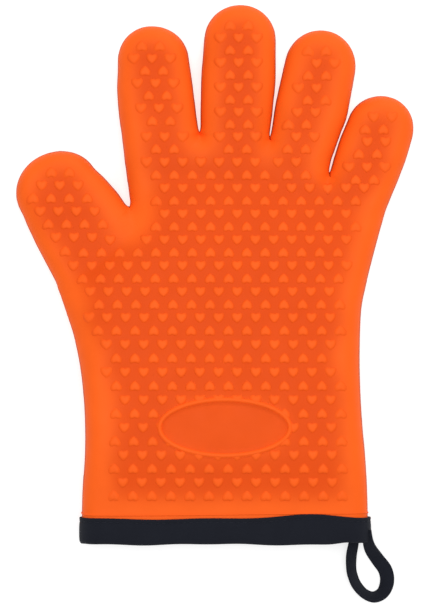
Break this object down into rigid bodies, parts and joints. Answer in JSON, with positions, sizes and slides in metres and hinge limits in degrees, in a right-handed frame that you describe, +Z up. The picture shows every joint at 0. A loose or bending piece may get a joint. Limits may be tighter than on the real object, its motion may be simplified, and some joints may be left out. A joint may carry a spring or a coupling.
{
  "type": "heat resistant glove",
  "caption": "Five-finger heat resistant cooking glove of moulded silicone with raised heart grips, a padded cotton lining, a bound cuff and a tape hanging loop.",
  "frame": {"origin": "bottom centre of the bounding box, on the plane that the glove lies on", "axes": "+Y from the cuff to the fingertips, +X towards the little finger, +Z up out of the shown face of the flat glove"},
  "size_m": [0.1968, 0.2988, 0.025],
  "materials": {
    "silicone": "satin moulded silicone",
    "batting": "soft fibre wadding",
    "cotton": "plain woven cotton, quilted",
    "tape": "dark navy woven cotton tape",
    "thread": "dark navy sewing thread"
  },
  "bodies": {
    "palm": {"shell_palm": "silicone", "padding_palm": "batting", "lining_palm": "cotton", "cuff_binding": "tape", "binding_thread": "thread"},
    "thumb_base": {"shell_thumb_base": "silicone", "padding_thumb_base": "batting", "lining_thumb_base": "cotton"},
    "thumb_tip": {"shell_thumb_tip": "silicone", "padding_thumb_tip": "batting", "lining_thumb_tip": "cotton"},
    "index_base": {"shell_index_base": "silicone", "padding_index_base": "batting", "lining_index_base": "cotton"},
    "index_tip": {"shell_index_tip": "silicone", "padding_index_tip": "batting", "lining_index_tip": "cotton"},
    "middle_base": {"shell_middle_base": "silicone", "padding_middle_base": "batting", "lining_middle_base": "cotton"},
    "middle_tip": {"shell_middle_tip": "silicone", "padding_middle_tip": "batting", "lining_middle_tip": "cotton"},
    "ring_base": {"shell_ring_base": "silicone", "padding_ring_base": "batting", "lining_ring_base": "cotton"},
    "ring_tip": {"shell_ring_tip": "silicone", "padding_ring_tip": "batting", "lining_ring_tip": "cotton"},
    "little_base": {"shell_little_base": "silicone", "padding_little_base": "batting", "lining_little_base": "cotton"},
    "little_tip": {"shell_little_tip": "silicone", "padding_little_tip": "batting", "lining_little_tip": "cotton"},
    "loop": {"hanging_loop": "tape"}
  },
  "joints": [
    {"name": "thumb_knuckle_bend", "type": "hinge", "parent": "palm", "child": "thumb_base", "pos_m": [-0.06814, 0.04024, 0.0095], "axis": [0.8387, 0.5446, 0], "range_deg": [-65, 65], "stiffness_Nm_per_rad": 0.12},
    {"name": "thumb_middle_bend", "type": "hinge", "parent": "thumb_base", "child": "thumb_tip", "pos_m": [-0.07849, 0.05618, 0.0095], "axis": [0.8387, 0.5446, 0], "range_deg": [-65, 65], "stiffness_Nm_per_rad": 0.05},
    {"name": "index_knuckle_bend", "type": "hinge", "parent": "palm", "child": "index_base", "pos_m": [-0.0279, 0.09615, 0.0095], "axis": [0.996, 0.0889, 0], "range_deg": [-65, 65], "stiffness_Nm_per_rad": 0.12},
    {"name": "index_middle_bend", "type": "hinge", "parent": "index_base", "child": "index_tip", "pos_m": [-0.02985, 0.11806, 0.0095], "axis": [0.996, 0.0889, 0], "range_deg": [-65, 65], "stiffness_Nm_per_rad": 0.05},
    {"name": "middle_knuckle_bend", "type": "hinge", "parent": "palm", "child": "middle_base", "pos_m": [0.01105, 0.09418, 0.0095], "axis": [0.9987, -0.0506, 0], "range_deg": [-65, 65], "stiffness_Nm_per_rad": 0.12},
    {"name": "middle_middle_bend", "type": "hinge", "parent": "middle_base", "child": "middle_tip", "pos_m": [0.01249, 0.12265, 0.0095], "axis": [0.9987, -0.0506, 0], "range_deg": [-65, 65], "stiffness_Nm_per_rad": 0.05},
    {"name": "ring_knuckle_bend", "type": "hinge", "parent": "palm", "child": "ring_base", "pos_m": [0.04661, 0.08923, 0.0095], "axis": [0.9816, -0.1908, 0], "range_deg": [-65, 65], "stiffness_Nm_per_rad": 0.12},
    {"name": "ring_middle_bend", "type": "hinge", "parent": "ring_base", "child": "ring_tip", "pos_m": [0.05138, 0.11377, 0.0095], "axis": [0.9816, -0.1908, 0], "range_deg": [-65, 65], "stiffness_Nm_per_rad": 0.05},
    {"name": "little_knuckle_bend", "type": "hinge", "parent": "palm", "child": "little_base", "pos_m": [0.07567, 0.06806, 0.0095], "axis": [0.9511, -0.309, 0], "range_deg": [-65, 65], "stiffness_Nm_per_rad": 0.12},
    {"name": "little_middle_bend", "type": "hinge", "parent": "little_base", "child": "little_tip", "pos_m": [0.08169, 0.08661, 0.0095], "axis": [0.9511, -0.309, 0], "range_deg": [-65, 65], "stiffness_Nm_per_rad": 0.05},
    {"name": "loop_hinge", "type": "hinge", "parent": "palm", "child": "loop", "pos_m": [0.07402, -0.122, 0.0105], "axis": [1, 0, 0], "range_deg": [-85, 60]}
  ]
}
